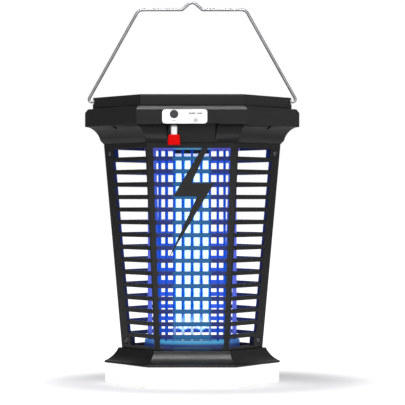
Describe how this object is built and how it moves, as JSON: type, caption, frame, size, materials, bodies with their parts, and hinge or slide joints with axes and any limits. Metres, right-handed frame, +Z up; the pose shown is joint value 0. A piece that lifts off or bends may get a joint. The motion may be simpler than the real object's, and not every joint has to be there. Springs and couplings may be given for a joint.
{
  "type": "electric bug zapper",
  "caption": "Hexagonal lantern insect killer: louvred cage round a rod grid and UV lamp, control head, twist-off lit tray and wire hanging bail.",
  "frame": {"origin": "middle of the tray's underside, on the surface it stands on", "axes": "+Z up along the lantern's axis; -Y is the front with the controls; +X is the right-hand corner of the hexagonal plan, seen from the front"},
  "size_m": [0.2146, 0.188, 0.381],
  "materials": {
    "black_plastic": "satin moulded ABS",
    "dark_plastic": "moulded plastic",
    "rubber": "soft matt",
    "screw_steel": "blackened pan-head screws",
    "label_plate": "satin film on plastic",
    "lens": "clear to milky",
    "circuit_board": "solder mask",
    "white_board": "white solder mask",
    "selector_stem": "glossy",
    "red_plastic": "glossy",
    "transformer": "taped winding",
    "capacitor": "dipped",
    "insulator": "pale heat-proof plastic",
    "cell_wrap": "shrink wrap",
    "socket_metal": "drawn shell",
    "lamp_glass": "lit phosphor-coated glass",
    "grid_steel": "drawn wire",
    "bus_brass": "stamped",
    "lead": "insulated wire",
    "tray_plastic": "milky translucent",
    "bail_wire": "bright drawn wire",
    "bush": "nylon"
  },
  "bodies": {
    "housing": {"head_housing": "black_plastic", "top_cover": "black_plastic", "top_gasket": "rubber", "cover_screws": "screw_steel", "control_plate": "label_plate", "indicator_lens": "lens", "control_board": "circuit_board", "button_switch": "dark_plastic", "indicator_led": "lens", "selector_switch": "dark_plastic", "main_board": "circuit_board", "hv_transformer": "transformer", "hv_capacitors": "capacitor", "lamp_socket": "insulator", "battery_cells": "cell_wrap", "battery_cradle": "dark_plastic", "charge_board": "circuit_board", "charge_socket": "socket_metal", "port_bezel": "black_plastic", "head_floor": "black_plastic", "floor_screws": "screw_steel", "board_screws": "screw_steel", "lamp_base": "dark_plastic", "uv_tubes": "lamp_glass", "upper_insulator": "insulator", "lower_insulator": "insulator", "insulator_screws": "screw_steel", "live_grid_rods": "grid_steel", "ground_grid_rods": "grid_steel", "live_bus_ring": "bus_brass", "ground_bus_ring": "bus_brass", "front_grille": "black_plastic", "rear_grille": "black_plastic", "grille_screws": "screw_steel", "lower_skirt": "black_plastic", "lantern_led_board": "white_board", "lantern_leds": "lens", "lantern_lead": "lead", "bail_bushes": "bush"},
    "tray": {"collection_tray": "tray_plastic"},
    "bail": {"bail_handle": "bail_wire", "bail_retainers": "screw_steel"},
    "button": {"power_button": "dark_plastic"},
    "selector": {"selector_lever": "selector_stem", "selector_knob": "red_plastic"},
    "flap": {"port_flap": "rubber"}
  },
  "joints": [
    {"name": "bail_swing", "type": "hinge", "parent": "housing", "child": "bail", "pos_m": [0, 0, 0.2804], "axis": [1, 0, 0], "range_deg": [-92, 92]},
    {"name": "button_press", "type": "slide", "parent": "housing", "child": "button", "axis": [0, 1, 0], "range_m": [0, 0.0012], "stiffness_N_per_m": 400},
    {"name": "selector_slide", "type": "slide", "parent": "housing", "child": "selector", "axis": [1, 0, 0], "range_m": [0, 0.0208]},
    {"name": "tray_twist", "type": "hinge", "parent": "housing", "child": "tray", "pos_m": [0, 0, 0], "axis": [0, 0, 1], "range_deg": [0, 25]},
    {"name": "flap_swing", "type": "hinge", "parent": "housing", "child": "flap", "pos_m": [0, 0.0932, 0.2674], "axis": [1, 0, 0], "range_deg": [0, 95]}
  ]
}
